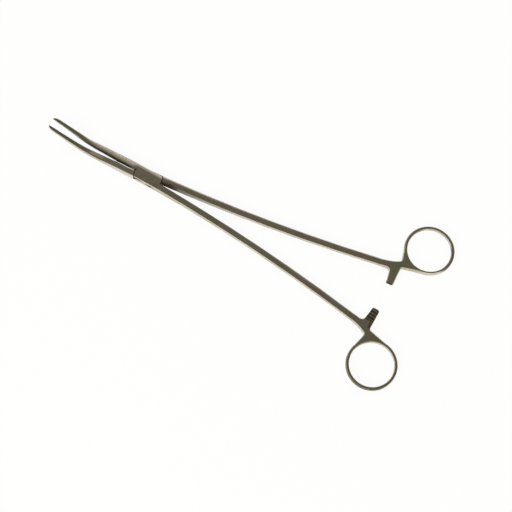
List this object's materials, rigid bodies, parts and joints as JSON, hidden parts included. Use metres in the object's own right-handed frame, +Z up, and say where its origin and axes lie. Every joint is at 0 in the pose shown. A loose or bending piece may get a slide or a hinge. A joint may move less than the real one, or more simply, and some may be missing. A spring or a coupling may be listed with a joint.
{
  "type": "hemostat forceps",
  "caption": "Long curved hemostat forceps with a box lock, finger rings, serrated jaws and ratchet bars, resting slightly open.",
  "frame": {"origin": "on the pivot axis, in the flat underside of the box lock", "axes": "+X from the pivot towards the finger rings, midway between the halves; +Z up along the pivot axis, the way the jaw tips curve"},
  "size_m": [0.25, 0.1086, 0.0127],
  "materials": {
    "steel": "satin",
    "pin_steel": "satin"
  },
  "bodies": {
    "box_side": {"box_half": "steel", "pivot_pin": "pin_steel"},
    "tongue_side": {"tongue_half": "steel"}
  },
  "joints": [
    {"name": "box_lock", "type": "hinge", "parent": "box_side", "child": "tongue_side", "pos_m": [0, 0, 0.0026], "axis": [0, 0, 1], "range_deg": [-4, 56]}
  ]
}
